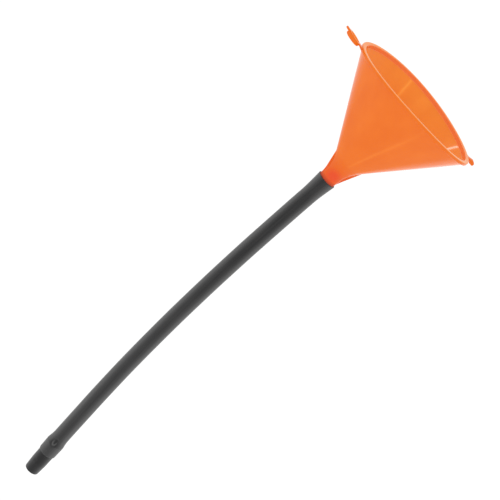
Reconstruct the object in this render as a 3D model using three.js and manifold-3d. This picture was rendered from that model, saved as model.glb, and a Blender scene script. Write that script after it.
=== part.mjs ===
// Fuel funnel with a flexible spout: a one-piece moulded cone with a hang ring, a push-on hose
// and a tapered nozzle. Millimetres, +Z up. The origin is on the cone's axis, in the plane of the
// rim's underside. The spout hangs straight down from the neck and then curves towards +X.
// The hose is one piece of rubber. It is modelled as five lengths that meet at ball-shaped faces,
// so that it can bend at four places, in turn about Y and about X.

import * as THREE from "three";
import { mergeVertices } from "three/addons/utils/BufferGeometryUtils.js";
import Module from "manifold-3d";

const wasm = await Module();
wasm.setup();

// ---- driving dimensions ----
const ROUND_SIDES = 64;          // facets round the cone and neck
const NOZZLE_SIDES = 40;
const BALL_SIDES = 24;
const TUBE_SIDES = 12;           // facets round the hose
const CURVE_STEPS = 6;           // points along one rounded corner
const OVERRUN = 1;               // how far a cutting shape runs past what it cuts
const GAP = 0.3;                 // clearance between pieces that touch

const RIM_RADIUS = 77.7;
const RIM_HEIGHT = 3.3;
const RIM_EDGE = 0.5;            // small bevel on the rim's edges
const COLLAR_RADIUS = 73;        // inside of the rim
const CONE_TOP_RADIUS = 76;      // outside of the cone at the rim's underside: six inches across
const CONE_SLOPE = 0.664;        // radius lost per millimetre down
const CONE_WALL = 2.4;           // measured across, level

const MOUTH_Z = -117.2;          // where the hose's upper end sits
const STUB_LENGTH = 22;          // neck inside the hose
const NECK_RADIUS = 9.8;
const MOUTH_RADIUS = 9.7;
const STUB_RADIUS = 8;
const NECK_BORE = 7.8;
const STUB_BORE = 6.5;
const NECK_BLEND = 13;           // length of the rounded corner between neck and cone
const BLEND_RISE = 0.85;         // share of that length by which the corner rises up the cone

const MOULD_TURN = THREE.MathUtils.degToRad(19);   // tabs and fins stand this far round from +X
const FIN_THICKNESS = 1.6;
const FIN_START = [11.3, 8.3];   // radius, height above the hose's end
const FIN_REACH = { left: 28.2, right: 36.6 };

const TAB_PLATE = 1.6;
const TAB_ROOT = 3;              // how far a tab reaches into the rim
const RING_TOP = 2.4;            // level of the ring's top face at the rim's edge
const RING_TILT = THREE.MathUtils.degToRad(10);
const RING_CENTRE = 13.7;        // outwards from the rim's edge
const RING_RADIUS = 8.6;
const RING_HOLE = 6;
const RING_DEPTH = 4.6;
const NUB_REACH = 27;
const NUB_WIDTH = 5;
const RING_NECK_WIDTH = 9;
const GUSSET_DROP = 2.5;
const PULL_TAB_TOP = 3;
const PULL_TAB_TILT = THREE.MathUtils.degToRad(-8);
const PULL_TAB_PLATE = 2;
const PULL_TAB_ROOT = 1.2;
const PULL_TAB_NECK = 4.6;       // the lump begins this far out and ends at the reach
const PULL_TAB_REACH = 9.8;
const PULL_TAB_DEPTH = 3.6;
const PULL_TAB_WIDTH = 6;
const PULL_TAB_ROUND = 0.9;      // rounding of the lump's edges

const HOSE_RADIUS = 9.2;
const HOSE_BORE = 7.9;
const HOSE_MOUTH_RADIUS = 11;    // stretched over the neck
const HOSE_MOUTH_BORE = MOUTH_RADIUS + GAP;
const HOSE_SETTLE = 4;           // length over which the bore closes again below the neck
const HOSE_ROUTE = [
  [0, -117.2], [0, -135], [0.1, -158], [0.4, -182], [0.7, -205], [1.1, -228], [1.9, -256],
  [2.9, -284], [4.2, -312], [5.7, -340], [7.5, -367], [9.6, -395], [12, -423], [14.8, -451],
  [17, -471.5], [19.4, -492], [22, -514], [24.9, -538], [27.6, -560.3],
];                               // x and z of the hose's middle line, which lies in the plane y = 0
const BEND_POINTS = [3, 7, 11, 15];   // the route's points that the hose bends about
const BALL_RADIUS = 9.9;         // the faces where two lengths of hose meet
const BALL_OVERLAP = 0.4;        // share of the step above a bend that the length below it starts from

const NOZZLE_REACH = 29.8;       // seen below the hose
const NOZZLE_GRIP = 18;          // held inside the hose
const NOZZLE_RADIUS = 8.95;
const NOZZLE_BARB = 9.25;
const BARB_START = 6;            // the barb rises this far below the nozzle's upper end
const BARB_EDGE = 4;
const BARB_BEVEL = 1.2;
const NOZZLE_TIP_RADIUS = 8.2;
const NOZZLE_TIP_FACE = 7;       // the flat end reaches out to this radius
const NOZZLE_TAPER_END = 4;      // the taper ends this far below the hose
const NOZZLE_BORE = 6.2;
const NOZZLE_TIP_BORE = 5.6;
const NOZZLE_ROUNDING = 1.5;
const NOZZLE_NARROWS = 10;       // length of the narrower bore at the tip
const GRIP_END_RADIUS = 10.1;    // outside of the hose at its lower end, over the nozzle
const GRIP_RIDGE_RADIUS = 10.45;
const GRIP_RIDGE = 15;           // from the hose's lower end to the ridge over the barb
const GRIP_FALL = 12;            // length over which the ridge dies away

const ORANGE = new THREE.MeshStandardMaterial({ color: 0xf27a2c, roughness: 0.28, metalness: 0 });
const HOSE_BLACK = new THREE.MeshStandardMaterial({ color: 0x3a3a3b, roughness: 0.5, metalness: 0 });
const NOZZLE_BLACK = new THREE.MeshStandardMaterial({ color: 0x2c2c2d, roughness: 0.38, metalness: 0 });

// ---- solids ----
function toSolid(geometry) {
  const bare = geometry.index ? geometry.toNonIndexed() : geometry;
  bare.deleteAttribute("normal");
  bare.deleteAttribute("uv");
  const merged = mergeVertices(bare);
  return new wasm.Manifold(new wasm.Mesh({
    numProp: 3,
    vertProperties: new Float32Array(merged.attributes.position.array),
    triVerts: new Uint32Array(properTriangles(merged.index.array)),
  }));
}

// A closed curve repeats its first point, and merging the two leaves triangles with no area.
function properTriangles(indices) {
  const kept = [];
  for (let at = 0; at < indices.length; at += 3) {
    const [a, b, c] = indices.slice(at, at + 3);
    if (a !== b && b !== c && c !== a) {
      kept.push(a, b, c);
    }
  }
  return kept;
}

function toGeometry(solid) {
  const { vertProperties, triVerts, numProp } = solid.getMesh();
  const positions = new Float32Array(triVerts.length * 3);
  triVerts.forEach((vertex, corner) => {
    positions.set(vertProperties.subarray(vertex * numProp, vertex * numProp + 3), corner * 3);
  });
  const geometry = new THREE.BufferGeometry();
  geometry.setAttribute("position", new THREE.BufferAttribute(positions, 3));
  geometry.computeVertexNormals();
  return geometry;
}

// Turns an outline of radius and height about the Z axis.
function turned(path, sides = ROUND_SIDES) {
  const geometry = new THREE.LatheGeometry(path.getPoints(CURVE_STEPS), sides);
  geometry.rotateX(Math.PI / 2);
  return geometry;
}

// Extrudes a side view drawn in x and z, centred on the plane y = 0.
function sideways(shape, width) {
  const geometry = new THREE.ExtrudeGeometry(shape, {
    depth: width, bevelEnabled: false, curveSegments: CURVE_STEPS,
  });
  geometry.translate(0, 0, -width / 2);
  geometry.rotateX(Math.PI / 2);
  return geometry;
}

// Extrudes a plan drawn in x and y between two heights.
function upright(shape, low, high) {
  const geometry = new THREE.ExtrudeGeometry(shape, {
    depth: high - low, bevelEnabled: false, curveSegments: 2 * CURVE_STEPS,
  });
  geometry.translate(0, 0, low);
  return geometry;
}

// ---- the moulded cone ----
function coneRadius(z) {
  return CONE_TOP_RADIUS + CONE_SLOPE * z;
}

function coneHeight(radius) {
  return (radius - CONE_TOP_RADIUS) / CONE_SLOPE;
}

// The height where the rounded corner between neck and cone ends.
function blendEnd(corner) {
  return corner + NECK_BLEND * BLEND_RISE;
}

function coneOutside() {
  const corner = coneHeight(NECK_RADIUS);
  const blendTop = blendEnd(corner);
  const path = new THREE.Path();
  path.moveTo(0, MOUTH_Z - STUB_LENGTH);
  path.lineTo(STUB_RADIUS - RIM_EDGE, MOUTH_Z - STUB_LENGTH);
  path.lineTo(STUB_RADIUS, MOUTH_Z - STUB_LENGTH + RIM_EDGE);
  path.lineTo(MOUTH_RADIUS, MOUTH_Z);
  path.lineTo(NECK_RADIUS, corner - NECK_BLEND);
  path.quadraticCurveTo(NECK_RADIUS, corner, coneRadius(blendTop), blendTop);
  path.lineTo(CONE_TOP_RADIUS, 0);
  path.lineTo(RIM_RADIUS - RIM_EDGE, 0);
  path.lineTo(RIM_RADIUS, RIM_EDGE);
  path.lineTo(RIM_RADIUS, RIM_HEIGHT - RIM_EDGE);
  path.lineTo(RIM_RADIUS - RIM_EDGE, RIM_HEIGHT);
  path.lineTo(0, RIM_HEIGHT);
  return toSolid(turned(path));
}

function coneInside() {
  const corner = coneHeight(NECK_BORE + CONE_WALL);
  const blendTop = blendEnd(corner);
  const path = new THREE.Path();
  path.moveTo(0, MOUTH_Z - STUB_LENGTH - OVERRUN);
  path.lineTo(STUB_BORE, MOUTH_Z - STUB_LENGTH - OVERRUN);
  path.lineTo(STUB_BORE, MOUTH_Z - STUB_LENGTH);
  path.lineTo(NECK_BORE, MOUTH_Z);
  path.lineTo(NECK_BORE, corner - NECK_BLEND);
  path.quadraticCurveTo(NECK_BORE, corner, coneRadius(blendTop) - CONE_WALL, blendTop);
  path.lineTo(COLLAR_RADIUS, coneHeight(COLLAR_RADIUS + CONE_WALL));
  path.lineTo(COLLAR_RADIUS, RIM_HEIGHT - RIM_EDGE);
  path.lineTo(COLLAR_RADIUS + RIM_EDGE, RIM_HEIGHT);
  path.lineTo(COLLAR_RADIUS + RIM_EDGE, RIM_HEIGHT + OVERRUN);
  path.lineTo(0, RIM_HEIGHT + OVERRUN);
  return toSolid(turned(path));
}

// A thin fin that runs up from the neck to the cone, drawn on the +X side.
function fin(reach) {
  const [startRadius, startRise] = FIN_START;
  const lowZ = MOUTH_Z + OVERRUN;
  const topZ = MOUTH_Z + reach;
  const shape = new THREE.Shape();
  shape.moveTo(0, lowZ);
  shape.lineTo(MOUTH_RADIUS, lowZ);
  shape.lineTo(startRadius, MOUTH_Z + startRise);
  shape.lineTo(coneRadius(topZ), topZ);
  shape.lineTo(0, topZ);
  return sideways(shape, FIN_THICKNESS);
}

// Ring on a thin neck, with a nub beyond it, drawn outwards along +X from the rim's edge.
function hangRing() {
  const disc = new THREE.Shape().absarc(RING_CENTRE, 0, RING_RADIUS, 0, 2 * Math.PI);
  const strip = new THREE.Shape();
  strip.moveTo(-TAB_ROOT, -RING_NECK_WIDTH / 2);
  strip.lineTo(RING_CENTRE, -NUB_WIDTH / 2);
  strip.absarc(NUB_REACH - NUB_WIDTH / 2, 0, NUB_WIDTH / 2, -Math.PI / 2, Math.PI / 2);
  strip.lineTo(RING_CENTRE, NUB_WIDTH / 2);
  strip.lineTo(-TAB_ROOT, RING_NECK_WIDTH / 2);
  const hole = new THREE.Shape().absarc(RING_CENTRE, 0, RING_HOLE, 0, 2 * Math.PI);
  const ring = toSolid(upright(disc, RING_TOP - RING_DEPTH, RING_TOP))
    .add(toSolid(upright(strip, RING_TOP - TAB_PLATE, RING_TOP)))
    .subtract(toSolid(upright(hole, RING_TOP - RING_DEPTH - OVERRUN, RING_TOP + OVERRUN)));
  return ring.add(toSolid(sideways(ringGusset(), TAB_PLATE)));
}

// The curved web under the ring's neck. Its foot is a point of the cone, seen in the ring's frame.
function ringGusset() {
  const plateMiddle = RING_TOP - TAB_PLATE / 2;
  const ringEdge = RING_CENTRE - RING_RADIUS + RIM_EDGE;
  const foot = new THREE.Vector2(coneRadius(-GUSSET_DROP) - RIM_RADIUS, -GUSSET_DROP);
  foot.rotateAround(new THREE.Vector2(0, 0), -RING_TILT);
  const shape = new THREE.Shape();
  shape.moveTo(foot.x - CONE_WALL / 2, foot.y);
  shape.lineTo(foot.x, foot.y);
  shape.quadraticCurveTo(0, -TAB_PLATE, ringEdge, RING_TOP - TAB_PLATE);
  shape.lineTo(ringEdge, plateMiddle);
  shape.lineTo(-TAB_ROOT, plateMiddle);
  return shape;
}

// A short thumb tab with a thickened end, drawn outwards along +X from the rim's edge.
function pullTab() {
  const round = PULL_TAB_ROUND;
  const neckEnd = PULL_TAB_NECK;
  const end = PULL_TAB_REACH;
  const top = PULL_TAB_TOP;
  const low = top - PULL_TAB_DEPTH;
  const shape = new THREE.Shape();
  shape.moveTo(-PULL_TAB_ROOT, top);
  shape.lineTo(-PULL_TAB_ROOT, top - PULL_TAB_PLATE);
  shape.lineTo(neckEnd, top - PULL_TAB_PLATE);
  shape.lineTo(neckEnd, low + round);
  shape.quadraticCurveTo(neckEnd, low, neckEnd + round, low);
  shape.lineTo(end - round, low);
  shape.quadraticCurveTo(end, low, end, low + round);
  shape.lineTo(end, top - round);
  shape.quadraticCurveTo(end, top, end - round, top);
  return toSolid(sideways(shape, PULL_TAB_WIDTH));
}

// Tips a tab about the rim's edge, upwards for a positive angle, and moves it out to the rim.
function ontoRim(tab, tilt) {
  const place = new THREE.Matrix4().makeTranslation(RIM_RADIUS, 0, 0)
    .multiply(new THREE.Matrix4().makeRotationY(-tilt));
  return tab.transform(place.elements);
}

function turnedAbout(solid, angle) {
  return solid.transform(new THREE.Matrix4().makeRotationZ(angle).elements);
}

// The ring and one fin stand on one side of the cone, the thumb tab and the other fin opposite.
function makeFunnelBody() {
  const ringSide = ontoRim(hangRing(), RING_TILT).add(toSolid(fin(FIN_REACH.left)));
  const tabSide = ontoRim(pullTab(), PULL_TAB_TILT).add(toSolid(fin(FIN_REACH.right)));
  const solid = coneOutside()
    .add(turnedAbout(ringSide, MOULD_TURN + Math.PI))
    .add(turnedAbout(tabSide, MOULD_TURN))
    .subtract(coneInside());
  return new THREE.Mesh(toGeometry(solid), ORANGE);
}

// ---- the hose ----
const routePoints = HOSE_ROUTE.map(([x, z]) => new THREE.Vector3(x, 0, z));
const hoseMouth = routePoints[0];
const hoseEnd = routePoints[routePoints.length - 1];
const bends = BEND_POINTS.map((index) => routePoints[index]);
const lastBend = bends[bends.length - 1];
const endTilt = Math.atan2(hoseEnd.x - lastBend.x, lastBend.z - hoseEnd.z);

function ball(centre, radius) {
  const geometry = new THREE.SphereGeometry(radius, BALL_SIDES, BALL_SIDES / 2);
  geometry.translate(centre.x, centre.y, centre.z);
  return toSolid(geometry);
}

// The space above a bend that the length below it keeps out of, all but its ball-shaped end.
function spaceAbove(bend) {
  const height = 2 * BALL_RADIUS;
  const block = new THREE.CylinderGeometry(2 * BALL_RADIUS, 2 * BALL_RADIUS, height, TUBE_SIDES);
  block.rotateX(Math.PI / 2);
  block.translate(bend.x, bend.y, bend.z + height / 2);
  return toSolid(block).subtract(ball(bend, BALL_RADIUS - GAP));
}

// A round bar of hose along some of the route's points.
function hoseBar(points, radius) {
  const section = new THREE.Shape().absarc(0, 0, radius, 0, 2 * Math.PI);
  const geometry = new THREE.ExtrudeGeometry(section, {
    steps: points.length - 1,
    curveSegments: TUBE_SIDES / 2,
    extrudePath: new THREE.CatmullRomCurve3(points),
  });
  return toSolid(geometry);
}

// The upper length, stretched over the neck.
function hoseTop() {
  const foot = bends[0].z;
  const settle = MOUTH_Z - STUB_LENGTH;
  const path = new THREE.Path();
  path.moveTo(HOSE_BORE, foot);
  path.lineTo(HOSE_RADIUS, foot);
  path.lineTo(HOSE_RADIUS, settle);
  path.lineTo(HOSE_MOUTH_RADIUS, MOUTH_Z);
  path.lineTo(HOSE_MOUTH_BORE, MOUTH_Z);
  path.lineTo(STUB_RADIUS + GAP, settle);
  path.lineTo(HOSE_BORE, settle - HOSE_SETTLE);
  path.lineTo(HOSE_BORE, foot);
  return toSolid(turned(path, 2 * TUBE_SIDES)).subtract(ball(bends[0], BALL_RADIUS));
}

// A middle length, between two bends. It starts a little above the upper one, where its end is cut
// to a ball, and its lower end is hollowed to take the next ball.
function hoseMiddle(number) {
  const upper = BEND_POINTS[number - 1];
  const lower = BEND_POINTS[number];
  const start = routePoints[upper].clone().lerp(routePoints[upper - 1], BALL_OVERLAP);
  const points = [start, ...routePoints.slice(upper, lower + 1)];
  return hoseBar(points, HOSE_RADIUS)
    .subtract(hoseBar(stretched(points), HOSE_BORE))
    .subtract(spaceAbove(bends[number - 1]))
    .subtract(ball(bends[number], BALL_RADIUS));
}

// The same points with the two ends moved outwards a little, so that a cut runs right through.
function stretched(points) {
  const outwards = -0.1;
  const first = points[0].clone().lerp(points[1], outwards);
  const last = points[points.length - 1].clone().lerp(points[points.length - 2], outwards);
  return [first, ...points.slice(1, -1), last];
}

// The lowest length is straight. It is drawn along +Z from the hose's end, where it is stretched
// over the nozzle, and then turned to lie along the route.
function hoseBottom() {
  const length = lastBend.distanceTo(hoseEnd) + BALL_RADIUS;
  const boreRadius = NOZZLE_RADIUS + GAP;
  const ridgeEnd = GRIP_RIDGE + GRIP_FALL;
  const path = new THREE.Path();
  path.moveTo(boreRadius, 0);
  path.lineTo(GRIP_END_RADIUS, 0);
  path.lineTo(GRIP_RIDGE_RADIUS, GRIP_RIDGE);
  path.quadraticCurveTo(HOSE_RADIUS, GRIP_RIDGE + GRIP_FALL / 2, HOSE_RADIUS, ridgeEnd);
  path.lineTo(HOSE_RADIUS, length);
  path.lineTo(HOSE_BORE, length);
  path.lineTo(HOSE_BORE, ridgeEnd);
  path.lineTo(NOZZLE_BARB + GAP, NOZZLE_GRIP + GAP);
  path.lineTo(NOZZLE_BARB + GAP, NOZZLE_GRIP - BARB_EDGE);
  path.lineTo(boreRadius, NOZZLE_GRIP - BARB_START);
  path.lineTo(boreRadius, 0);
  const lying = atHoseEnd(turned(path, 2 * TUBE_SIDES));
  return toSolid(lying).subtract(spaceAbove(lastBend));
}

// Moves a piece drawn along Z so that its zero is at the hose's end.
function atHoseEnd(geometry) {
  geometry.rotateY(-endTilt);
  geometry.translate(hoseEnd.x, hoseEnd.y, hoseEnd.z);
  return geometry;
}

function makeHose() {
  const lengths = [hoseTop()];
  for (let number = 1; number < bends.length; number += 1) {
    lengths.push(hoseMiddle(number));
  }
  lengths.push(hoseBottom());
  return lengths.map((solid, index) => {
    const mesh = new THREE.Mesh(toGeometry(solid), HOSE_BLACK);
    mesh.name = `hose_section_${index + 1}`;
    return mesh;
  });
}

// ---- the nozzle ----
function makeNozzle() {
  const tip = -NOZZLE_REACH;
  const path = new THREE.Path();
  path.moveTo(NOZZLE_TIP_BORE, tip);
  path.lineTo(NOZZLE_TIP_FACE, tip);
  path.quadraticCurveTo(NOZZLE_TIP_RADIUS, tip, NOZZLE_TIP_RADIUS, tip + NOZZLE_ROUNDING);
  path.lineTo(NOZZLE_RADIUS, -NOZZLE_TAPER_END);
  path.lineTo(NOZZLE_RADIUS, NOZZLE_GRIP - BARB_START);
  path.lineTo(NOZZLE_BARB, NOZZLE_GRIP - BARB_EDGE);
  path.lineTo(NOZZLE_BARB - BARB_BEVEL, NOZZLE_GRIP);
  path.lineTo(NOZZLE_BORE, NOZZLE_GRIP);
  path.lineTo(NOZZLE_BORE, tip + NOZZLE_NARROWS);
  path.lineTo(NOZZLE_TIP_BORE, tip);
  return new THREE.Mesh(atHoseEnd(turned(path, NOZZLE_SIDES)), NOZZLE_BLACK);
}

// ---- the funnel ----
const funnel = new THREE.Group();
const funnelBody = makeFunnelBody();
funnelBody.name = "funnel_body";
const nozzle = makeNozzle();
nozzle.name = "nozzle";
funnel.add(funnelBody, ...makeHose(), nozzle);

export default funnel;
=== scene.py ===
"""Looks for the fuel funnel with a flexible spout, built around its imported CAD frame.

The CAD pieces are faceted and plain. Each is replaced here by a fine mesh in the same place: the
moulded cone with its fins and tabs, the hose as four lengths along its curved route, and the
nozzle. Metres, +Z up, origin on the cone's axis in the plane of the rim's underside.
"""
import bisect
import math

import bpy
from mathutils import Matrix, Vector


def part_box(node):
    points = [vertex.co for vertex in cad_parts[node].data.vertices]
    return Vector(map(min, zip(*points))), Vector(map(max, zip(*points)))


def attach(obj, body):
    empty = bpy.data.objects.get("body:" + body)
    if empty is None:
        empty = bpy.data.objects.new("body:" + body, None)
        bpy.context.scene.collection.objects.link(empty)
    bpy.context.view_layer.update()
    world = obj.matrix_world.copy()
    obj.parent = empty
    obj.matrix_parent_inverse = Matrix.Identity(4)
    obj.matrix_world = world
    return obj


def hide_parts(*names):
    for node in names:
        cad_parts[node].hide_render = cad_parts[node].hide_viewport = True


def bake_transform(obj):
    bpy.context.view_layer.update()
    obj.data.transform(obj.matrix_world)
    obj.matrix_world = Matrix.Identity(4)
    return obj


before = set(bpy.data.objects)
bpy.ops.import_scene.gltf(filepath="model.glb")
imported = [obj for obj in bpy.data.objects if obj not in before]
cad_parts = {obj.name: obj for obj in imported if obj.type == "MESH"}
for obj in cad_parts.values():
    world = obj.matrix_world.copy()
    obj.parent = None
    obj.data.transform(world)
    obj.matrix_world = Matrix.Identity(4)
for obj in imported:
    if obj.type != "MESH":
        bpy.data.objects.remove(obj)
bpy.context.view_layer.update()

MM = 0.001

# ---- driving dimensions, in metres ----
FUNNEL_LOW, FUNNEL_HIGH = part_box("funnel_body")
RIM_RADIUS = FUNNEL_HIGH.y
RIM_HEIGHT = 3.3 * MM
COLLAR_RADIUS = RIM_RADIUS - 4.7 * MM
CONE_TOP_RADIUS = RIM_RADIUS - 1.7 * MM
CONE_SLOPE = 0.664                  # radius lost for each unit of height
CONE_WALL = 2.4 * MM                # measured across, level
NECK_RADIUS = 9.8 * MM
NECK_BORE = 7.8 * MM
MOUTH_RADIUS = 9.7 * MM
STUB_RADIUS = 8 * MM
STUB_BORE = 6.5 * MM
NECK_ROUNDING = 43 * MM             # radius of the curve from the neck into the cone
SADDLE = (-1.74 * MM, -0.81 * MM)   # how far the rim is out of flat, twice round
COLLAR_FOOT = -1.5 * MM             # above this the inside has the collar's paler orange, a painted highlight
MOULD_TURN = math.radians(19)       # the tabs and fins stand this far round from +X

FIN_HALF = 0.8 * MM
FIN_CREST = 0.4 * MM                # rounding of the fin's outer edge
FIN_FILLET = 0.6 * MM               # rounding where the fin meets the neck
FIN_FOOT = 1 * MM                   # the fins begin this far above the hose's end
FIN_START_LEFT = 10.8 * MM          # a fin's outer edge is at this radius
FIN_START_RIGHT = 12.1 * MM
FIN_START_RISE = 8.3 * MM           # at this height above the hose's end
FIN_RISE_LEFT = 28.2 * MM
FIN_RISE_RIGHT = 36.6 * MM

HOSE_RADIUS = 9.25 * MM
HOSE_BORE = 7.9 * MM
HOSE_ROUTE = [                      # x and z of the hose's middle line, which lies in the plane y = 0
    (0, -0.1172), (0, -0.135), (0.0001, -0.158), (0.0004, -0.182), (0.0007, -0.205),
    (0.0011, -0.228), (0.0019, -0.256), (0.0029, -0.284), (0.0042, -0.312), (0.0057, -0.34),
    (0.0075, -0.367), (0.0096, -0.395), (0.012, -0.423), (0.0148, -0.451), (0.017, -0.4715),
    (0.0194, -0.492), (0.022, -0.514), (0.0249, -0.538), (0.0276, -0.5603),
]
BEND_POINTS = [3, 7, 11, 15]        # the route's points that are the four joints
HOSE_BODIES = ["funnel", "hose_2", "hose_3", "hose_4", "hose_5"]
MOUTH_Z = HOSE_ROUTE[0][1]
STUB_LENGTH = MOUTH_Z - FUNNEL_LOW.z

NOZZLE_REACH = 29.6 * MM            # seen below the hose
NOZZLE_GRIP = 18 * MM               # held inside the hose
NOZZLE_RADIUS = 9.3 * MM
NOZZLE_BARB = 9.4 * MM
NOZZLE_BORE = 6.2 * MM
NOZZLE_TIP_BORE = 5.6 * MM
NOZZLE_NARROWS = 10 * MM            # length of the narrower bore at the tip

# ---- the camera ----
LENS_MM = 100.8
CAMERA_DISTANCE = 1.439
CAMERA_ELEVATION = math.radians(18.83)
CAMERA_ROLL = math.radians(49.49)
CAMERA_AIM = Vector((0.0037, 0, -0.2278))


# ---- small helpers ----
def link(obj):
    bpy.context.scene.collection.objects.link(obj)
    return obj


def mesh_object(name, vertices, faces):
    mesh = bpy.data.meshes.new(name)
    mesh.from_pydata(vertices, [], faces)
    mesh.update()
    return link(bpy.data.objects.new(name, mesh))


def apply_modifiers(obj):
    """Puts the result of the object's modifiers into its mesh."""
    evaluated = obj.evaluated_get(bpy.context.evaluated_depsgraph_get())
    made = bpy.data.meshes.new_from_object(evaluated)
    obj.modifiers.clear()
    obj.data = made


def smooth(obj, sharp_angle):
    obj.data.shade_smooth()
    obj.data.set_sharp_from_angle(angle=math.radians(sharp_angle))


def ease(t):
    """Rises smoothly from 0 to 1."""
    t = min(max(t, 0), 1)
    return t * t * (3 - 2 * t)


def rounded(corners, turn=math.radians(15)):
    """The outline of (radius, height, rounding) corners, with an arc at each, open at its ends."""
    points = []
    for index, (r, z, rounding) in enumerate(corners):
        here = Vector((r, z))
        if rounding == 0 or index in (0, len(corners) - 1):
            points.append(here)
            continue
        back = (Vector(corners[index - 1][:2]) - here).normalized()
        ahead = (Vector(corners[index + 1][:2]) - here).normalized()
        opening = back.angle(ahead)
        reach = rounding / math.tan(opening / 2)
        centre = here + (back + ahead).normalized() * rounding / math.sin(opening / 2)
        start = here + back * reach - centre
        swept = math.pi - opening
        steps = max(2, math.ceil(swept / turn))
        if start.x * (here - centre).y - start.y * (here - centre).x < 0:
            swept = -swept
        for step in range(steps + 1):
            points.append(centre + Matrix.Rotation(swept * step / steps, 2) @ start)
    return points


def divided(points, longest):
    """The same outline with its long sides divided."""
    result = [points[0]]
    for a, b in zip(points, points[1:]):
        parts = max(1, math.ceil((b - a).length / longest))
        result += [a.lerp(b, part / parts) for part in range(1, parts + 1)]
    return result


def grid_faces(rows, columns):
    """Quads between rings of points, all with the same number of points. The last ring meets the first."""
    faces = []
    for row in range(rows):
        above = (row + 1) % rows
        for column in range(columns):
            beside = (column + 1) % columns
            faces.append((row * columns + column, row * columns + beside,
                          above * columns + beside, above * columns + column))
    return faces


# ---- the camera ----
def make_camera():
    forward = Vector((0, math.cos(CAMERA_ELEVATION), -math.sin(CAMERA_ELEVATION)))
    level = Vector((1, 0, 0))
    upright = level.cross(forward)
    right = math.cos(CAMERA_ROLL) * level + math.sin(CAMERA_ROLL) * upright
    up = math.cos(CAMERA_ROLL) * upright - math.sin(CAMERA_ROLL) * level
    data = bpy.data.cameras.new("camera")
    data.lens = LENS_MM
    data.clip_end = 100
    camera = link(bpy.data.objects.new("camera", data))
    turned = Matrix((right, up, -forward)).transposed().to_4x4()
    camera.matrix_world = Matrix.Translation(CAMERA_AIM - forward * CAMERA_DISTANCE) @ turned
    bpy.context.scene.camera = camera


# ---- the hose ----
HOSE_SIDES = 96
HOSE_STEP = 2 * MM
LIP_STEP = 0.8 * MM                 # closer rings where the hose is stretched over something
LIP_LENGTH = 40 * MM
LIP_ROUNDING = 0.35 * MM
LIP_ARC_STEPS = 6
FIT_CLEARANCE = 0.05 * MM           # between the hose and what it is pushed over
BORE_SETTLE = 8 * MM                # length over which the bore closes again above the nozzle
MOUTH_SWELL = 1.6 * MM              # how far the neck stretches the hose
MOUTH_SWELL_LENGTH = 24 * MM
MOUTH_SWELL_CURVE = 1.3             # above 1 the swell falls fastest at the hose's upper end
GRIP_SWELL = 1.3 * MM               # how far the nozzle stretches it
GRIP_RIDGE = 15 * MM                # from the hose's lower end to the widest part
GRIP_END_SHARE = 0.72               # share of that swell left at the hose's lower end
GRIP_FALL = 5.5 * MM
GRIP_FALL_CURVE = 1.5
NUB_AT = 19.6 * MM                  # moulded nub, from the hose's lower end
NUB_HEIGHT = 0.9 * MM
NUB_SPREAD = 1.9 * MM
NUB_STRETCH = 1.5                   # how much longer it is along the hose than across
NUB_DENT = 0.22 * MM                # depth of the ring-shaped dent round it
NUB_DENT_RADIUS = 3 * MM
NUB_DENT_WIDTH = 1 * MM
SPLITS = [0, 0.25, 0.5, 0.75, 1]    # where the four lengths meet
BLEND_HALVES = [41 * MM, 50 * MM, 50 * MM, 40 * MM]


def spline_point(p0, p1, p2, p3, t):
    """A point between p1 and p2 on the Catmull-Rom curve through all four."""
    return 0.5 * (2 * p1 + (p2 - p0) * t + (2 * p0 - 5 * p1 + 4 * p2 - p3) * t * t
                  + (3 * p1 - p0 - 3 * p2 + p3) * t * t * t)


class Route:
    """The hose's middle line, by distance from its upper end."""

    def __init__(self, corners, parts=24):
        knots = [Vector((x, 0, z)) for x, z in corners]
        padded = [2 * knots[0] - knots[1], *knots, 2 * knots[-1] - knots[-2]]
        self.points = [knots[0]]
        for index in range(len(knots) - 1):
            four = padded[index:index + 4]
            self.points += [spline_point(*four, part / parts) for part in range(1, parts + 1)]
        self.far = [0.0]
        for a, b in zip(self.points, self.points[1:]):
            self.far.append(self.far[-1] + (b - a).length)
        self.length = self.far[-1]
        self.knot_far = self.far[::parts]

    def at(self, far):
        index = min(max(bisect.bisect_right(self.far, far) - 1, 0), len(self.far) - 2)
        share = (far - self.far[index]) / (self.far[index + 1] - self.far[index])
        return self.points[index].lerp(self.points[index + 1], share)

    def direction(self, far, reach=4 * MM):
        low = max(far - reach, 0)
        high = min(far + reach, self.length)
        return (self.at(high) - self.at(low)).normalized()


route = Route(HOSE_ROUTE)


def hose_outside(far):
    """Outer radius of the hose at a distance from its upper end."""
    left = route.length - far
    radius = HOSE_RADIUS
    if far < MOUTH_SWELL_LENGTH:
        radius += MOUTH_SWELL * (1 - far / MOUTH_SWELL_LENGTH) ** MOUTH_SWELL_CURVE
    if left < GRIP_RIDGE:
        radius += GRIP_SWELL * (GRIP_END_SHARE + (1 - GRIP_END_SHARE) * left / GRIP_RIDGE)
    elif left < LIP_LENGTH:
        radius += GRIP_SWELL * math.exp(-((left - GRIP_RIDGE) / GRIP_FALL) ** GRIP_FALL_CURVE)
    return radius


def hose_inside(far):
    """Bore of the hose: it fits closely on the neck's stub and on the nozzle."""
    left = route.length - far
    taper = (MOUTH_RADIUS - STUB_RADIUS) / STUB_LENGTH
    on_stub = MOUTH_RADIUS - taper * far + FIT_CLEARANCE
    on_nozzle = NOZZLE_BARB + FIT_CLEARANCE
    if far < STUB_LENGTH:
        return on_stub
    if left < NOZZLE_GRIP:
        return on_nozzle
    after = (left - NOZZLE_GRIP) / BORE_SETTLE
    return on_nozzle + (HOSE_BORE - on_nozzle) * ease(after)


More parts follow.
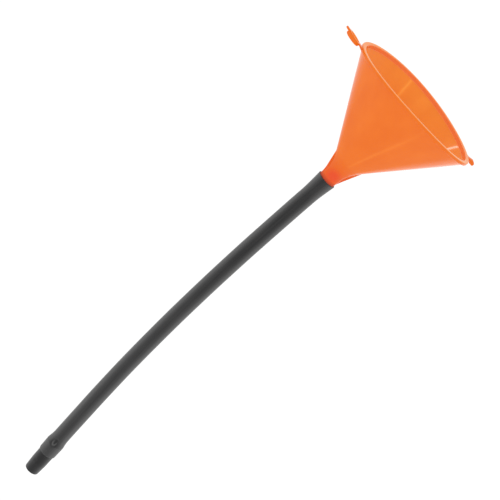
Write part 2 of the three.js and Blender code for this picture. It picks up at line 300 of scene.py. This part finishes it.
def nub_height(left, across, facing):
    """Height of the flat-topped nub near the hose's lower end, ringed by a shallow dent."""
    if not facing:
        return 0
    apart = math.hypot((left - NUB_AT) / NUB_STRETCH, across)
    dent = math.exp(-((apart - NUB_DENT_RADIUS) / NUB_DENT_WIDTH) ** 2)
    return NUB_HEIGHT * math.exp(-(apart / NUB_SPREAD) ** 4) - NUB_DENT * dent


def ring_distances(start, end):
    """Distances along the hose of one length's rings, closer together near the hose's two ends."""
    distances = [start]
    while distances[-1] < end:
        here = distances[-1]
        near_end = min(here, route.length - here) < LIP_LENGTH
        distances.append(here + (LIP_STEP if near_end else HOSE_STEP))
    distances[-1] = end
    return distances


def lip(far, inner, outer, way):
    """A rounded end of the hose wall, from its outer to its inner edge. way is +1 at the lower end."""
    points = []
    for step in range(1, LIP_ARC_STEPS):
        turn = math.pi / 2 * step / LIP_ARC_STEPS
        back = LIP_ROUNDING * (1 - math.sin(turn))
        points.append((far - way * back, outer - LIP_ROUNDING * (1 - math.cos(turn))))
    points.append((far, outer - LIP_ROUNDING))
    points.append((far, inner + LIP_ROUNDING))
    for step in range(1, LIP_ARC_STEPS):
        turn = math.pi / 2 * step / LIP_ARC_STEPS
        back = LIP_ROUNDING * (1 - math.cos(turn))
        points.append((far - way * back, inner + LIP_ROUNDING * (1 - math.sin(turn))))
    return points


def hose_profile(start, end):
    """(distance, radius) pairs round the section of the hose wall, down outside and up inside."""
    distances = ring_distances(start, end)
    outside = [(far, hose_outside(far)) for far in distances]
    inside = [(far, hose_inside(far)) for far in reversed(distances)]
    upper, lower = [], []
    if start == 0:
        upper = list(reversed(lip(0, hose_inside(0), hose_outside(0), -1)))
        outside, inside = outside[1:], inside[:-1]
    if end == route.length:
        lower = lip(end, hose_inside(end), hose_outside(end), 1)
        outside, inside = outside[:-1], inside[1:]
    return upper + outside + lower + inside, distances


def make_hose_length(number, start, end):
    profile, distances = hose_profile(start, end)
    vertices, places = [], []
    for far, radius in profile:
        centre = route.at(far)
        along = route.direction(far)
        side = Vector((-along.z, 0, along.x))
        outer = radius > hose_inside(far) + LIP_ROUNDING * 1.5
        for step in range(HOSE_SIDES):
            turn = 2 * math.pi * step / HOSE_SIDES
            facing = math.sin(turn) < 0 and outer
            rise = nub_height(route.length - far, radius * math.cos(turn), facing)
            reach = radius + rise
            vertices.append(centre + reach * (math.cos(turn) * side + math.sin(turn) * Vector((0, 1, 0))))
            places.append((radius * math.cos(turn), radius * math.sin(turn), far))
    obj = mesh_object(f"hose_length_{number}", vertices, grid_faces(len(profile), HOSE_SIDES))
    attribute = obj.data.attributes.new("hose_place", "FLOAT_VECTOR", "POINT")
    attribute.data.foreach_set("vector", [value for place in places for value in place])
    obj.data.materials.append(rubber)
    smooth(obj, sharp_angle=50)
    return obj, [route.at(far) for far in distances]


def make_hose(nozzle):
    """Four lengths of hose, one after another along its route."""
    for index in range(4):
        start = SPLITS[index] * route.length
        end = SPLITS[index + 1] * route.length
        length, path = make_hose_length(index + 1, start, end)
        pivot = route.knot_far[BEND_POINTS[index]]
        half = BLEND_HALVES[index]
        route.at(pivot - half)
        route.at(pivot + half)
        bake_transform(length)
        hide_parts(f"hose_section_{index + 1}", f"hose_section_{index + 2}")


# ---- the nozzle ----
NOZZLE_SIDES = 96
NOZZLE_STEP = 1.5 * MM
NOZZLE_END_WALL = 2.6 * MM          # width of the flat end
NOZZLE_SHOULDER = 3 * MM            # length of the end's shoulder
NOZZLE_SHOULDER_WALL = 2.9 * MM     # wall at the top of the shoulder
NOZZLE_TAPER = 14 * MM              # from the tip to where the nozzle is nearly at its full width
NOZZLE_TAPER_SHORT = 0.15 * MM      # by how much it is narrower there
BARB_FOOT = 6 * MM                  # the barb begins this far below the nozzle's upper end
BARB_EDGE = 4 * MM
BARB_BEVEL = 1.2 * MM


def make_nozzle():
    """A tapered tip with a barb that holds it in the hose, turned about the hose's end."""
    tip = -NOZZLE_REACH
    section = rounded([
        (NOZZLE_TIP_BORE, tip, 0),
        (NOZZLE_TIP_BORE + NOZZLE_END_WALL, tip, 0.5 * MM),
        (NOZZLE_TIP_BORE + NOZZLE_SHOULDER_WALL, tip + NOZZLE_SHOULDER, 3 * MM),
        (NOZZLE_RADIUS - NOZZLE_TAPER_SHORT, tip + NOZZLE_TAPER, 20 * MM),
        (NOZZLE_RADIUS, 0, 6 * MM),
        (NOZZLE_RADIUS, NOZZLE_GRIP - BARB_FOOT, 0.5 * MM),
        (NOZZLE_BARB, NOZZLE_GRIP - BARB_EDGE, 0.5 * MM),
        (NOZZLE_BARB - BARB_BEVEL, NOZZLE_GRIP, 0.4 * MM),
        (NOZZLE_BORE, NOZZLE_GRIP, 0.4 * MM),
        (NOZZLE_BORE, tip + NOZZLE_NARROWS, 4 * MM),
        (NOZZLE_TIP_BORE, tip, 0),
    ])
    outline = divided(section, NOZZLE_STEP)[:-1]
    tube_end = route.at(route.length)
    along = route.direction(route.length)
    side = Vector((-along.z, 0, along.x))
    vertices = []
    for point in outline:
        for step in range(NOZZLE_SIDES):
            turn = 2 * math.pi * step / NOZZLE_SIDES
            ray = math.cos(turn) * side + math.sin(turn) * Vector((0, 1, 0))
            vertices.append(tube_end - along * point.y + ray * point.x)
    obj = mesh_object("nozzle_tip", vertices, grid_faces(len(outline), NOZZLE_SIDES))
    obj.data.flip_normals()
    obj.data.materials.append(hard_black)
    smooth(obj, sharp_angle=40)
    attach(obj, HOSE_BODIES[-1])
    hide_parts("nozzle")
    return obj


# ---- the moulded cone ----
CONE_COLUMNS = 124                  # between one fin and the other
CONE_STEP = 4 * MM
NECK_STEP = 1.2 * MM
NECK_OUTSIDE = NECK_BORE * 1.06     # on the neck, what is further out than this is its outer side
FIN_COLUMN_GAP = 0.01 * MM          # between the fin's side and the start of its fillet
COLLAR_BAND = 0.3 * MM              # how far past the collar's radius its painted-highlight orange reaches
TOP_BAND = 0.4 * MM                 # how far below the rim's top face the inside's paler orange, with its painted light, reaches
HOLE_BAND = 0.7 * MM                # and how far round the ring's hole
OUTSIDE, INSIDE, COLLAR = range(3)  # places of the funnel's three materials: its own orange outside, a paler copy with painted light inside, and a paler copy with a painted highlight on the collar


def cone_radius(z):
    return CONE_TOP_RADIUS + CONE_SLOPE * z


def cone_height(radius):
    return (radius - CONE_TOP_RADIUS) / CONE_SLOPE


def cone_outline():
    """The closed section of the cone's wall: up outside, over the rim and down inside."""
    stub_low = FUNNEL_LOW.z
    outside = [
        (STUB_BORE, stub_low, 0),
        (STUB_RADIUS, stub_low, 0.5 * MM),
        (MOUTH_RADIUS, MOUTH_Z, 4 * MM),
        (NECK_RADIUS, cone_height(NECK_RADIUS), NECK_ROUNDING),
        (CONE_TOP_RADIUS, 0, 0.4 * MM),
        (RIM_RADIUS, 0, 0.8 * MM),
        (RIM_RADIUS, RIM_HEIGHT, 0.8 * MM),
        (COLLAR_RADIUS, RIM_HEIGHT, 0.7 * MM),
        (COLLAR_RADIUS, cone_height(COLLAR_RADIUS + CONE_WALL), 1.2 * MM),
        (NECK_BORE, cone_height(NECK_BORE + CONE_WALL), NECK_ROUNDING),
        (NECK_BORE, MOUTH_Z, 4 * MM),
        (STUB_BORE, stub_low, 0),
    ]
    points = []
    for a, b in zip(rounded(outside), rounded(outside)[1:]):
        fine = min(a.y, b.y) < MOUTH_Z + FIN_RISE_RIGHT
        points += divided([a, b], NECK_STEP if fine else CONE_STEP)[:-1]
    return points


def fin_height(radius, z, start, rise):
    """How far a fin stands out of the neck or cone at a height."""
    top = MOUTH_Z + rise
    knee = MOUTH_Z + FIN_START_RISE
    low = MOUTH_Z + FIN_FOOT
    if not low < z < top:
        return 0
    if z < knee:
        edge = MOUTH_RADIUS + (start - MOUTH_RADIUS) * (z - low) / (knee - low)
    else:
        edge = start + (cone_radius(top) - start) * (z - knee) / (top - knee)
    return max(edge - radius, 0)


def fin_columns():
    """(distance from the fin's middle, height lost at the crest, or None and height of the fillet)."""
    columns = [(0, 0, None)]
    quarter_circle = [math.radians(turn) for turn in (0, 30, 60, 90)]
    for turn in quarter_circle:
        columns.append((FIN_HALF - FIN_CREST + FIN_CREST * math.sin(turn),
                        FIN_CREST * (1 - math.cos(turn)), None))
    for turn in quarter_circle:
        columns.append((FIN_HALF + FIN_COLUMN_GAP + FIN_FILLET * (1 - math.cos(turn)),
                        None, FIN_FILLET * (1 - math.sin(turn))))
    return columns


def fin_rise_at(full, lost, fillet):
    """A fin column's height over the cone, where the fin itself is full high."""
    share = min(1, full / (FIN_CREST + FIN_FILLET))
    return full - lost * share if fillet is None else fillet * share


def ring_points(radius, z, outer):
    """One level ring of the cone's wall, with close columns at the two fins."""
    half = fin_columns()
    edge = half[-1][0]
    edge_turn = math.asin(edge / radius)
    points = []
    for way, start, rise in ((1, FIN_START_RIGHT, FIN_RISE_RIGHT), (-1, FIN_START_LEFT, FIN_RISE_LEFT)):
        full = fin_height(radius, z, start, rise) if outer else 0
        across = [(-y, lost, fillet) for y, lost, fillet in reversed(half[1:])] + half
        for y, lost, fillet in across:
            x = math.sqrt(radius * radius - y * y) + fin_rise_at(full, lost, fillet)
            points.append(Vector((way * x, way * y, z)))
        for column in range(1, CONE_COLUMNS):
            turn = edge_turn + (math.pi - 2 * edge_turn) * column / CONE_COLUMNS
            points.append(Vector((way * radius * math.cos(turn), way * radius * math.sin(turn), z)))
    return points


def saddle(point):
    """Warps a point with the rim, which the mould leaves a little out of flat."""
    turn = math.atan2(point.y, point.x)
    share = ease((point.z - cone_height(NECK_RADIUS)) / -cone_height(NECK_RADIUS))
    lift = SADDLE[0] * math.cos(2 * turn) + SADDLE[1] * math.sin(2 * turn)
    return Vector((point.x, point.y, point.z + share * lift))


def is_outside(radius, z):
    """Whether a point of the cone's surface is on its outer side."""
    on_neck = z < MOUTH_Z + FIN_RISE_LEFT and radius > NECK_OUTSIDE
    return on_neck or radius > cone_radius(z) - CONE_WALL / 2


def material_at(point):
    """Which orange the funnel has at a point: painted light inside and a painted highlight on the collar.
    The rim's top and the ring's hole are as the inside, with its painted light.
    """
    radius = math.hypot(point.x, point.y)
    # the collar band gets a paler orange: a painted highlight
    if point.z > COLLAR_FOOT and radius < COLLAR_RADIUS + COLLAR_BAND:
        return COLLAR
    on_rim_top = point.z > RIM_HEIGHT - TOP_BAND and radius < RIM_RADIUS
    in_hole = math.hypot(point.x + RIM_RADIUS + RING_CENTRE, point.y) < RING_HOLE + HOLE_BAND
    return OUTSIDE if is_outside(radius, point.z) and not on_rim_top and not in_hole else INSIDE


def make_cone():
    outline = cone_outline()
    vertices = []
    for point in outline:
        vertices += ring_points(point.x, point.y, is_outside(point.x, point.y))
    return mesh_object("moulded_funnel", vertices, grid_faces(len(outline), len(vertices) // len(outline)))


# ---- the ring and the thumb tab ----
RING_TILT = math.radians(10)
RING_TOP = 2.4 * MM                 # level of the ring's top face at the rim's edge
RING_ROOT = 2.6 * MM                # how far its neck reaches into the rim
RING_CENTRE = 13.7 * MM             # outwards from the rim's edge
RING_RADIUS = 8.6 * MM
RING_HOLE = 6 * MM
RING_DEPTH = 5 * MM
RING_TAPER = 0.18                   # share of the depth lost on the side of the rim
RING_CHAMFER = 0.6 * MM             # on the hole's upper edge
RING_SECTION = [                    # radius and share of the ring's depth, round its section
    (RING_HOLE, 1), (RING_RADIUS - 1.2 * MM, 1), (RING_RADIUS, 0.86), (RING_RADIUS, 0),
    (RING_HOLE + RING_CHAMFER, 0), (RING_HOLE, 0.12),
]
RING_NECK = 9 * MM                  # width of the neck between the rim and the ring
RING_NECK_TAPER = 1 * MM            # what it loses on each side
RING_NECK_SHORT = 0.3 * MM          # it ends this far from the hole
RING_PLATE = 1.6 * MM
NUB_REACH = 27 * MM                 # the nub beyond the ring, from the rim's edge
NUB_WIDTH = 5 * MM
NUB_PLATE = 2.1 * MM
WEB_DROP = 1.4 * MM
WEB_OVERLAP = 0.5 * MM              # how far the web runs into the ring
WEB_STEPS = 8
THUMB_TILT = math.radians(-2)
THUMB_TOP = 3.2 * MM
THUMB_ROOT = 1.2 * MM
THUMB_PLATE = 2 * MM
THUMB_NECK = 4.6 * MM
THUMB_REACH = 9.8 * MM
THUMB_DEPTH = 3.6 * MM
THUMB_WIDTH = 6 * MM
THUMB_CREST = 0.9 * MM              # how far the end's upper side swells
THUMB_ROUNDING = 1.2 * MM
TAB_VOXEL = 0.25 * MM
TAB_RELAX = 12


def prism(outline, across, placed):
    """Vertices and faces of an outline carried from one side of a plane to the other."""
    count = len(outline)
    vertices = [placed(a, b, side * across / 2) for side in (-1, 1) for a, b in outline]
    faces = [tuple(reversed(range(count))), tuple(range(count, 2 * count))]
    faces += [(i, (i + 1) % count, count + (i + 1) % count, count + i) for i in range(count)]
    return vertices, faces


def plan_plate(outline, low, high):
    """A plate drawn from above, between two heights."""
    middle = (low + high) / 2
    return prism(outline, high - low, lambda a, b, side: (a, b, middle + side))


def side_plate(outline, width):
    """A plate drawn from the side, in x and z, centred on y = 0."""
    return prism(outline, width, lambda a, b, side: (a, -side, b))


def ring_body(sides=72):
    """The ring itself, which grows deeper away from the rim and has a bevelled lower edge."""
    vertices = []
    for radius, depth in RING_SECTION:
        for step in range(sides):
            turn = 2 * math.pi * step / sides
            x = RING_CENTRE + radius * math.cos(turn)
            full = RING_DEPTH * (1 - RING_TAPER * (1 - math.cos(turn)) / 2)
            vertices.append((x, radius * math.sin(turn), RING_TOP - depth * full))
    return vertices, grid_faces(len(RING_SECTION), sides)


def arc(centre, radius, start, end, steps=12):
    turns = [math.radians(start + (end - start) * step / steps) for step in range(steps + 1)]
    return [(centre[0] + radius * math.cos(turn), centre[1] + radius * math.sin(turn)) for turn in turns]


def ring_parts():
    """The hang ring, drawn outwards along +X from the rim's edge: neck, ring, end nub and web."""
    low = RING_TOP - RING_PLATE
    hole_edge = RING_CENTRE - RING_HOLE - RING_NECK_SHORT
    neck = [(-RING_ROOT, -RING_NECK / 2), (hole_edge, -RING_NECK / 2 + RING_NECK_TAPER),
            (hole_edge, RING_NECK / 2 - RING_NECK_TAPER), (-RING_ROOT, RING_NECK / 2)]
    half = NUB_WIDTH / 2
    inner_end = RING_CENTRE + RING_HOLE + RING_CHAMFER
    nub = [(inner_end, half), (inner_end, -half), *arc((NUB_REACH - half, 0), half, -90, 90)]
    return [
        ring_body(),
        plan_plate(neck, low, RING_TOP),
        plan_plate(nub, RING_TOP - NUB_PLATE, RING_TOP),
        side_plate(web_outline(), RING_PLATE),
    ]


def web_outline():
    """The web under the ring's neck. Its foot is a point of the cone, seen in the ring's frame."""
    middle = RING_TOP - RING_PLATE / 2
    foot = Vector((cone_radius(-WEB_DROP) - RIM_RADIUS, -WEB_DROP)) @ Matrix.Rotation(RING_TILT, 2)
    corner = Vector((0, -WEB_DROP / 4))
    ring_edge = Vector((RING_CENTRE - RING_RADIUS + WEB_OVERLAP, RING_TOP - RING_PLATE))
    outline = [(foot.x - CONE_WALL / 2, foot.y)]
    for step in range(WEB_STEPS + 1):
        t = step / WEB_STEPS
        outline.append(tuple(foot.lerp(corner, t).lerp(corner.lerp(ring_edge, t), t)))
    return outline + [(ring_edge.x, middle), (-RING_ROOT, middle)]


def thumb_parts():
    """The thumb tab: a short neck with a thickened end."""
    low = THUMB_TOP - THUMB_DEPTH
    turn_in = THUMB_ROUNDING
    lump = [*arc((THUMB_NECK + turn_in, low + turn_in), turn_in, 180, 270),
            *arc((THUMB_REACH - turn_in, low + turn_in), turn_in, 270, 360),
            *arc((THUMB_REACH - turn_in, THUMB_TOP - turn_in), turn_in, 0, 45),
            ((THUMB_NECK + THUMB_REACH) / 2, THUMB_TOP + THUMB_CREST), (THUMB_NECK / 2, THUMB_TOP)]
    inside_lump = (THUMB_NECK + THUMB_REACH) / 2
    neck = [(-THUMB_ROOT, THUMB_TOP - THUMB_PLATE), (inside_lump, THUMB_TOP - THUMB_PLATE),
            (inside_lump, THUMB_TOP), (-THUMB_ROOT, THUMB_TOP)]
    return [side_plate(lump, THUMB_WIDTH), side_plate(neck, THUMB_WIDTH)]


def make_tab(parts, way, tilt):
    """Joins the parts into one softly rounded solid and moves it out to the rim."""
    vertices, faces = [], []
    for part_vertices, part_faces in parts:
        first = len(vertices)
        vertices += part_vertices
        faces += [tuple(first + corner for corner in face) for face in part_faces]
    tab = mesh_object("tab", vertices, faces)
    remesh = tab.modifiers.new("one solid", "REMESH")
    remesh.mode = "VOXEL"
    remesh.voxel_size = TAB_VOXEL
    relax = tab.modifiers.new("soft edges", "SMOOTH")
    relax.factor = 0.5
    relax.iterations = TAB_RELAX
    apply_modifiers(tab)
    place = Matrix.Translation((RIM_RADIUS, 0, 0)) @ Matrix.Rotation(-tilt, 4, "Y")
    if way < 0:
        place = Matrix.Rotation(math.pi, 4, "Z") @ place
    tab.data.transform(place)
    return tab


def make_funnel():
    cone = make_cone()
    for parts, way, tilt in ((ring_parts(), -1, RING_TILT), (thumb_parts(), 1, THUMB_TILT)):
        tab = make_tab(parts, way, tilt)
        union = cone.modifiers.new("join", "BOOLEAN")
        union.operation = "UNION"
        union.solver = "EXACT"
        union.object = tab
        apply_modifiers(cone)
        bpy.data.objects.remove(tab)
    cone.data.materials.clear()
    # the inside's and the collar's oranges are paler copies: painted light and a painted highlight
    for material in (orange_outside, orange_inside_painted_light, orange_collar_painted_highlight):
        cone.data.materials.append(material)
    for face in cone.data.polygons:
        face.material_index = material_at(face.center)
    cone.data.transform(Matrix.Rotation(MOULD_TURN, 4, "Z"))
    for vertex in cone.data.vertices:
        vertex.co = saddle(vertex.co)
    smooth(cone, sharp_angle=38)
    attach(cone, "funnel")
    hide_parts("funnel_body")


# ---- materials ----
class Shader:
    """A new material's node tree, with short ways to add nodes to it."""

    def __init__(self, name):
        self.material = bpy.data.materials.new(name)
        self.material.use_nodes = True
        self.tree = self.material.node_tree
        self.surface = self.tree.nodes["Principled BSDF"]

    def node(self, kind, **settings):
        made = self.tree.nodes.new(kind)
        for key, value in settings.items():
            setattr(made, key, value)
        return made

    def join(self, output, socket):
        self.tree.links.new(output, socket)

    def place(self, attribute=None):
        """The point's place on the piece: in the object's own space, or from a stored attribute."""
        if attribute:
            return self.node("ShaderNodeAttribute", attribute_name=attribute).outputs["Vector"]
        return self.node("ShaderNodeTexCoord").outputs["Object"]

    def noise(self, place, scale, stretch=(1, 1, 1), detail=3, roughness=0.5):
        mapping = self.node("ShaderNodeMapping")
        mapping.inputs["Scale"].default_value = stretch
        self.join(place, mapping.inputs["Vector"])
        texture = self.node("ShaderNodeTexNoise")
        texture.inputs["Scale"].default_value = scale
        texture.inputs["Detail"].default_value = detail
        texture.inputs["Roughness"].default_value = roughness
        self.join(mapping.outputs["Vector"], texture.inputs["Vector"])
        return texture.outputs["Fac"]

    def between(self, value, low, high, start=0.3, end=0.7):
        """Maps a noise value from start..end to low..high."""
        ranged = self.node("ShaderNodeMapRange")
        ranged.inputs["From Min"].default_value = start
        ranged.inputs["From Max"].default_value = end
        ranged.inputs["To Min"].default_value = low
        ranged.inputs["To Max"].default_value = high
        self.join(value, ranged.inputs["Value"])
        return ranged.outputs["Result"]

    def blend(self, share, first, second):
        """A colour between two, each a tuple or another node's colour.

        A mix node's inputs 6 and 7 and its output 2 are the ones for colours.
        """
        mix = self.node("ShaderNodeMix", data_type="RGBA")
        self.join(share, mix.inputs["Factor"])
        for socket, colour in ((mix.inputs[6], first), (mix.inputs[7], second)):
            if isinstance(colour, tuple):
                socket.default_value = (*colour, 1)
            else:
                self.join(colour, socket)
        return mix.outputs[2]

    def bump(self, height, strength, distance, before=None):
        made = self.node("ShaderNodeBump")
        made.inputs["Strength"].default_value = strength
        made.inputs["Distance"].default_value = distance
        self.join(height, made.inputs["Height"])
        if before:
            self.join(before, made.inputs["Normal"])
        return made.outputs["Normal"]


SCUFF_ORANGE = (0.95, 0.33, 0.10)
NECK_PAINTED_SHADE_AND_REFLECTION = [                     # centre, full within, gone beyond, colour: painted shade on the neck, a painted reflection of the dark hose and a painted shadow where the hose ends
    # painted shade: the neck darker round the hose's end
    ((0, 0, MOUTH_Z), 12 * MM, 36 * MM, (0.83, 0.118, 0.014)),
    # painted reflection of the dark hose on the neck's near side
    ((0.002, -0.0095, MOUTH_Z + 9 * MM), 3 * MM, 10 * MM, (0.83, 0.085, 0.022)),
    # painted shadow in a thin line where the hose ends
    ((0, 0, MOUTH_Z - 2 * MM), 9.3 * MM, 11.6 * MM, (0.42, 0.04, 0.02)),
]


def make_orange(name, pale, deep, scuffs, edge_gloss, ripples):
    """Glossy moulded plastic: slow flow marks, painted shade, a painted hose reflection and a painted
    shadow on the neck, fine orange peel and light scuffs.

    It shines more where it is seen at a slant.
    """
    shader = Shader(name)
    place = shader.place()
    flow = shader.noise(place, 55, stretch=(1, 1, 0.25), detail=4)
    base = shader.blend(shader.between(flow, 0, 1), deep, pale)
    # paints the neck's shade, the hose's reflection and the hose's shadow into the colour
    for centre, full, gone, colour in NECK_PAINTED_SHADE_AND_REFLECTION:
        apart = shader.node("ShaderNodeVectorMath", operation="DISTANCE")
        shader.join(place, apart.inputs[0])
        apart.inputs[1].default_value = centre
        base = shader.blend(shader.between(apart.outputs["Value"], 1, 0, full, gone), base, colour)
    scuff = shader.noise(place, 420, stretch=(1, 0.12, 0.5), detail=6, roughness=0.7)
    scuffed = shader.between(scuff, 0, scuffs, 0.66, 0.78)
    shader.join(shader.blend(scuffed, base, SCUFF_ORANGE), shader.surface.inputs["Base Color"])
    handled = shader.noise(place, 90, detail=5)
    shader.join(shader.between(handled, 0.12, 0.14), shader.surface.inputs["Roughness"])
    peel = shader.noise(place, 900, detail=2)
    fine = shader.bump(peel, 0.02, 0.05 * MM)
    ripple = shader.noise(place, 40, stretch=(1, 1, 0.2), detail=1)
    shader.join(shader.bump(ripple, ripples, 0.4 * MM, fine), shader.surface.inputs["Normal"])
    shader.surface.inputs["IOR"].default_value = 1.49
    facing = shader.node("ShaderNodeLayerWeight").outputs["Facing"]
    gloss = shader.between(facing, 0.18, edge_gloss, 0.35, 0.58)
    shader.join(gloss, shader.surface.inputs["Specular IOR Level"])
    return shader.material


def make_rubber():
    """Extruded black rubber: lines along its length, a fine grain and a dusty bloom.

    It shines more where it is seen at a slant.
    """
    shader = Shader("black rubber")
    place = shader.place("hose_place")
    lines = shader.noise(place, 700, stretch=(1, 1, 0.03), detail=3)
    bloom = shader.noise(place, 60, stretch=(1, 1, 0.4), detail=5)
    base = shader.blend(shader.between(lines, 0, 1), (0.014, 0.014, 0.0145), (0.024, 0.024, 0.0245))
    dusty = shader.between(bloom, 0, 0.5, 0.45, 0.8)
    shader.join(shader.blend(dusty, base, (0.045, 0.045, 0.045)), shader.surface.inputs["Base Color"])
    shader.join(shader.between(bloom, 0.42, 0.58), shader.surface.inputs["Roughness"])
    grain = shader.noise(place, 2600, detail=2)
    fine = shader.bump(grain, 0.12, 0.06 * MM)
    shader.join(shader.bump(lines, 0.12, 0.12 * MM, fine), shader.surface.inputs["Normal"])
    facing = shader.node("ShaderNodeLayerWeight").outputs["Facing"]
    shader.join(shader.between(facing, 0.25, 1, 0.07, 0.33), shader.surface.inputs["Specular IOR Level"])
    shader.surface.inputs["Sheen Weight"].default_value = 0.2
    shader.surface.inputs["Sheen Roughness"].default_value = 0.4
    return shader.material


def make_hard_black():
    """Harder black plastic, a little smoother and darker than the hose, rubbed paler in places."""
    shader = Shader("black plastic")
    place = shader.place()
    rub = shader.noise(place, 260, stretch=(1, 1, 0.4), detail=5, roughness=0.6)
    base = shader.blend(shader.between(rub, 0, 1, 0.5, 0.8), (0.009, 0.009, 0.0095), (0.022, 0.022, 0.0225))
    shader.join(base, shader.surface.inputs["Base Color"])
    shader.join(shader.between(rub, 0.3, 0.45), shader.surface.inputs["Roughness"])
    grain = shader.noise(place, 2200, detail=2)
    shader.join(shader.bump(grain, 0.1, 0.05 * MM), shader.surface.inputs["Normal"])
    facing = shader.node("ShaderNodeLayerWeight").outputs["Facing"]
    shader.join(shader.between(facing, 0.25, 0.6, 0.15, 0.45), shader.surface.inputs["Specular IOR Level"])
    shader.surface.inputs["Sheen Weight"].default_value = 0.08
    return shader.material


# ---- the studio ----
FLOOR_Z = -1.0
FLOOR_HALF = 30
WHITE = (1, 1, 1)
WARM = (1, 0.75, 0.15)              # colour of the lights for the faint reflections
ALL_ROUND = 180                     # spread of a light that shines every way, in degrees
REFLECTIONS = [                     # name, turn, height, inside, distance, size, watts, colour, spread
    ("streak inside", 35.3, -5.5 * MM, True, 1.2, (0.025, 0.12), 0.45, WHITE, ALL_ROUND),
    ("weak streak inside", 106.6, -14 * MM, True, 1.2, (0.012, 0.1), 0.2, WARM, ALL_ROUND),
    ("patch inside", 87, -7 * MM, True, 1.2, (0.3, 0.025), 0.14, WARM, ALL_ROUND),
    ("streak outside", 288, -48 * MM, False, 0.9, (0.01, 0.17), 0.0009, WARM, 20),
    ("underside", 337, -40 * MM, False, 1.2, (0.7, 0.7), 0.5, WHITE, ALL_ROUND),
]


def make_floor():
    corners = [(-FLOOR_HALF, -FLOOR_HALF, FLOOR_Z), (FLOOR_HALF, -FLOOR_HALF, FLOOR_Z),
               (FLOOR_HALF, FLOOR_HALF, FLOOR_Z), (-FLOOR_HALF, FLOOR_HALF, FLOOR_Z)]
    floor = mesh_object("studio_floor", corners, [(0, 1, 2, 3)])
    shader = Shader("white floor")
    shader.surface.inputs["Base Color"].default_value = (0.8, 0.8, 0.8, 1)
    shader.surface.inputs["Roughness"].default_value = 0.9
    shader.surface.inputs["Specular IOR Level"].default_value = 0
    shader.surface.inputs["Emission Color"].default_value = (1, 1, 1, 1)
    shader.surface.inputs["Emission Strength"].default_value = 0.25
    floor.data.materials.append(shader.material)


def make_light(name, place, target, size, watts):
    data = bpy.data.lights.new(name, "AREA")
    data.shape = "RECTANGLE"
    data.size, data.size_y = size
    data.energy = watts
    light = link(bpy.data.objects.new(name, data))
    light.location = place
    light.rotation_euler = (Vector(target) - Vector(place)).to_track_quat("-Z", "Y").to_euler()
    return light


def mirrored_light(name, degrees, z, inner, distance, size, watts, colour, spread):
    """A strip light where the camera sees its reflection, on the cone's wall at a turn and a height."""
    turn = math.radians(degrees)
    radius = cone_radius(z) - (CONE_WALL if inner else 0)
    facing = -1 if inner else 1
    normal = Vector((math.cos(turn), math.sin(turn), -CONE_SLOPE)).normalized() * facing
    spot = Vector((radius * math.cos(turn), radius * math.sin(turn), z))
    to_camera = (bpy.context.scene.camera.matrix_world.translation - spot).normalized()
    away = 2 * normal.dot(to_camera) * normal - to_camera
    light = make_light(name, spot + away * distance, spot, size, watts)
    light.data.color = colour
    light.data.spread = math.radians(spread)


def make_studio():
    world = bpy.data.worlds.new("studio")
    world.use_nodes = True
    background = world.node_tree.nodes["Background"]
    background.inputs["Color"].default_value = (1, 1, 1, 1)
    background.inputs["Strength"].default_value = 1
    bpy.context.scene.world = world
    bpy.context.scene.view_settings.view_transform = "Standard"
    for reflection in REFLECTIONS:
        mirrored_light(*reflection)
    make_floor()


# the inside's and the collar's oranges are paler copies of the outside's: painted light through the wall
# and a painted highlight on the rim
orange_outside = make_orange("orange outside", (0.87, 0.182, 0.015), (0.835, 0.16, 0.012), 0.15, 0.05, 0.04)
orange_inside_painted_light = make_orange("orange inside, painted light", (0.93, 0.28, 0.031), (0.905, 0.255, 0.027), 0.1, 0.04, 0)
orange_collar_painted_highlight = make_orange("orange collar, painted highlight", (0.97, 0.275, 0.085), (0.95, 0.255, 0.075), 0.1, 0.2, 0)
rubber = make_rubber()
hard_black = make_hard_black()
make_camera()
make_hose(make_nozzle())
make_funnel()
make_studio()

bpy.context.view_layer.update()
